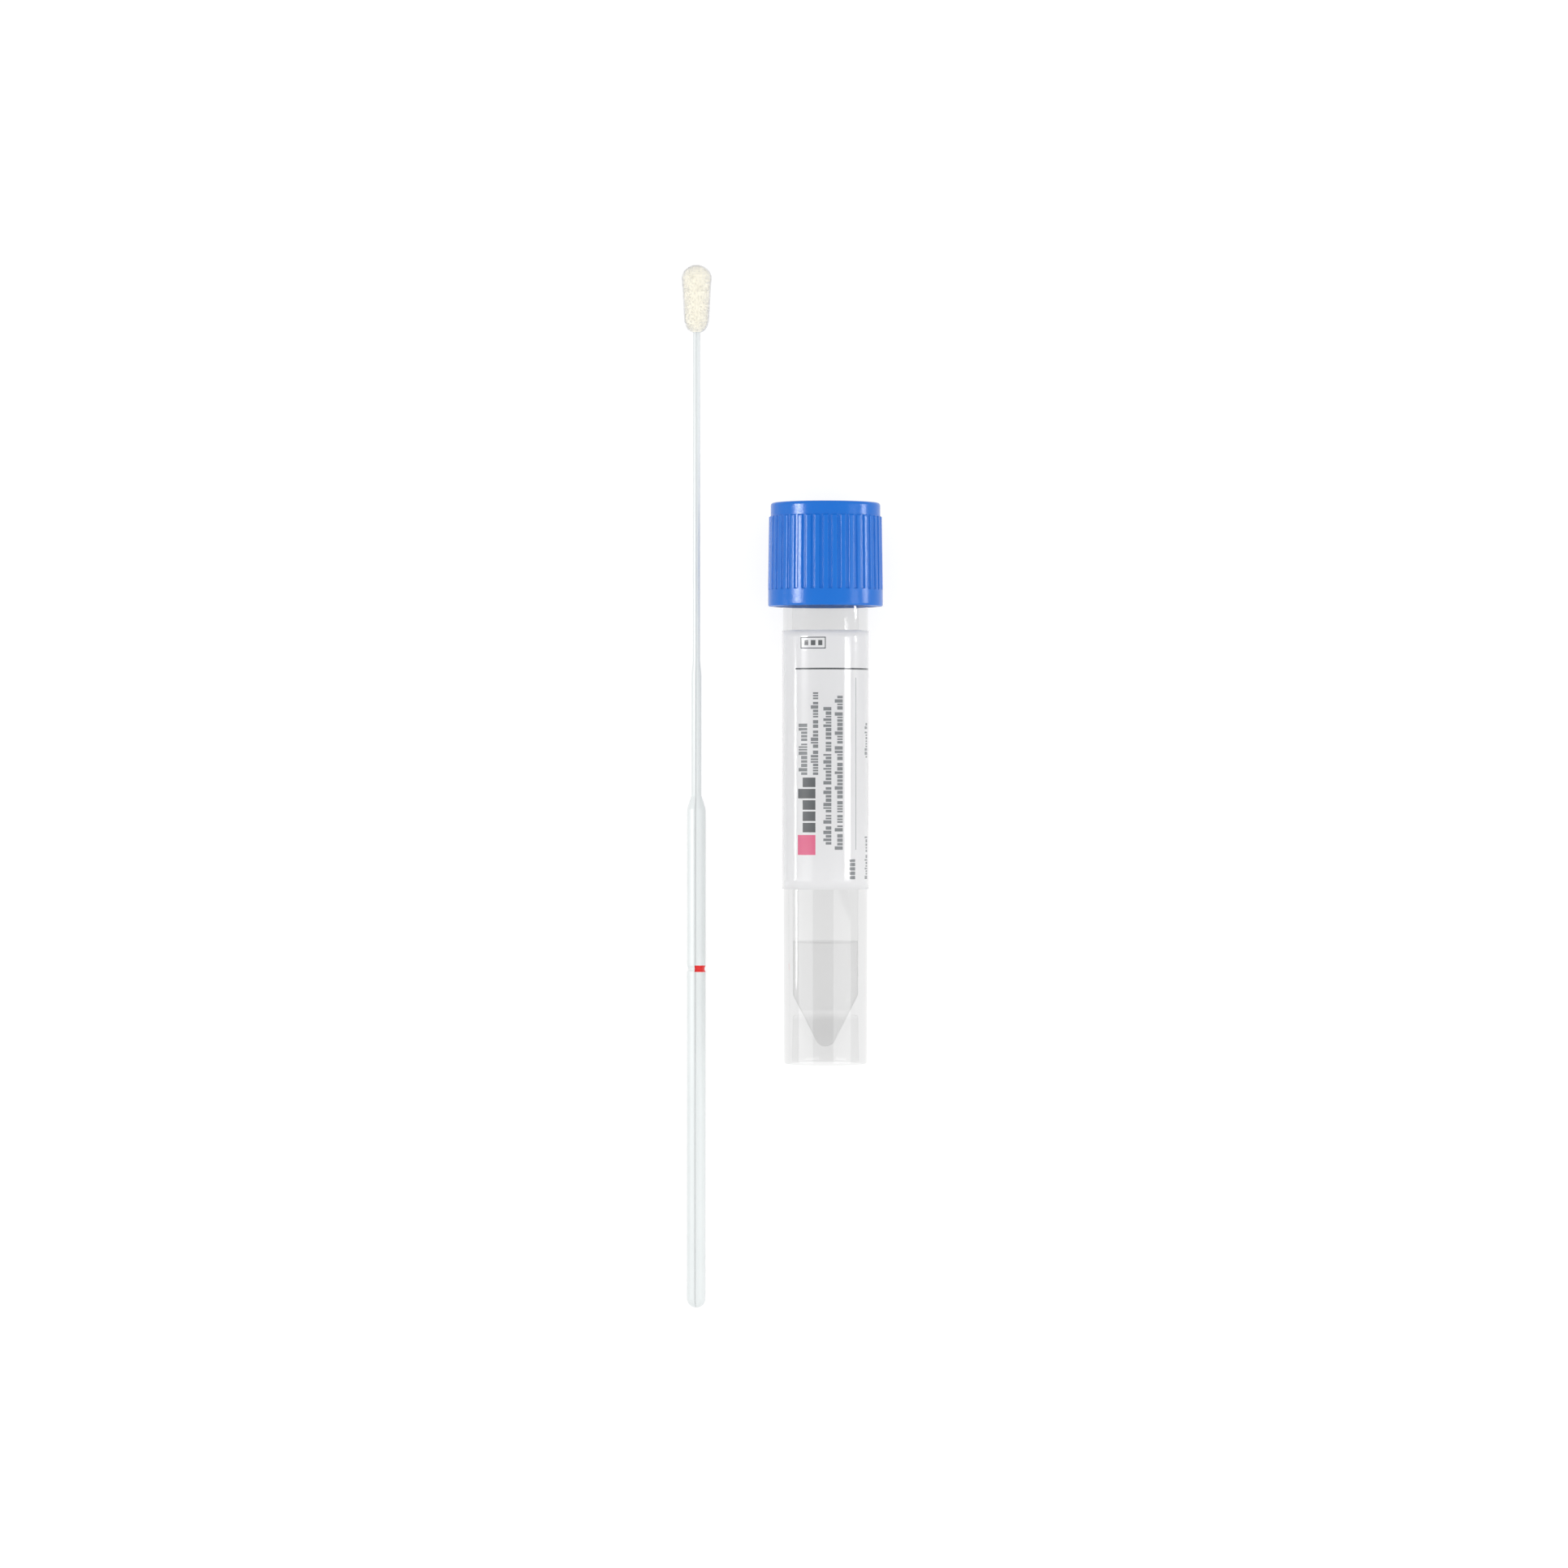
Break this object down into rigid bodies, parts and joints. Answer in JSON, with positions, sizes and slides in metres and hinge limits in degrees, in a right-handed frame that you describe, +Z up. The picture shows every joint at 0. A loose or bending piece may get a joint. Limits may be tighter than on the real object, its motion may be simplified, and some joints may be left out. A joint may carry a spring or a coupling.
{
  "type": "specimen swab tube",
  "caption": "Clear self-standing transport tube with conical floor, ribbed blue screw cap, wrap-round label and liquid medium, with its long flocked swab lying beside it.",
  "frame": {"origin": "on the surface the set lies on, midway across and along the set", "axes": "+Y along both pieces, from the tube's base and the stick's handle towards the cap and the flocked tip; +Z up; +X from the swab to the tube"},
  "size_m": [0.0294, 0.152, 0.0169],
  "materials": {
    "clear_plastic": "gloss",
    "blue_plastic": "satin",
    "seal_rubber": "matte",
    "label_film": "satin",
    "medium": "polished",
    "white_plastic": "satin",
    "flock": "matte"
  },
  "bodies": {
    "tube": {"tube": "clear_plastic", "label": "label_film", "liquid_medium": "medium", "swab_stick": "white_plastic", "swab_tip": "flock"},
    "seal": {"cap_seal": "seal_rubber"},
    "cap": {"screw_cap": "blue_plastic"}
  },
  "joints": [
    {"name": "cap_lift", "type": "slide", "parent": "tube", "child": "seal", "axis": [0, 0.9994, 0.0348], "range_m": [0, 0.024]},
    {"name": "cap_turn", "type": "hinge", "parent": "seal", "child": "cap", "pos_m": [0.00636, 0.02943, 0.00842], "axis": [0, 0.9994, 0.0348], "range_deg": [0, 2880]}
  ],
  "couplings": [
    {"joint": "cap_turn", "follows": "cap_lift", "rad_per_m": 2094.4}
  ]
}
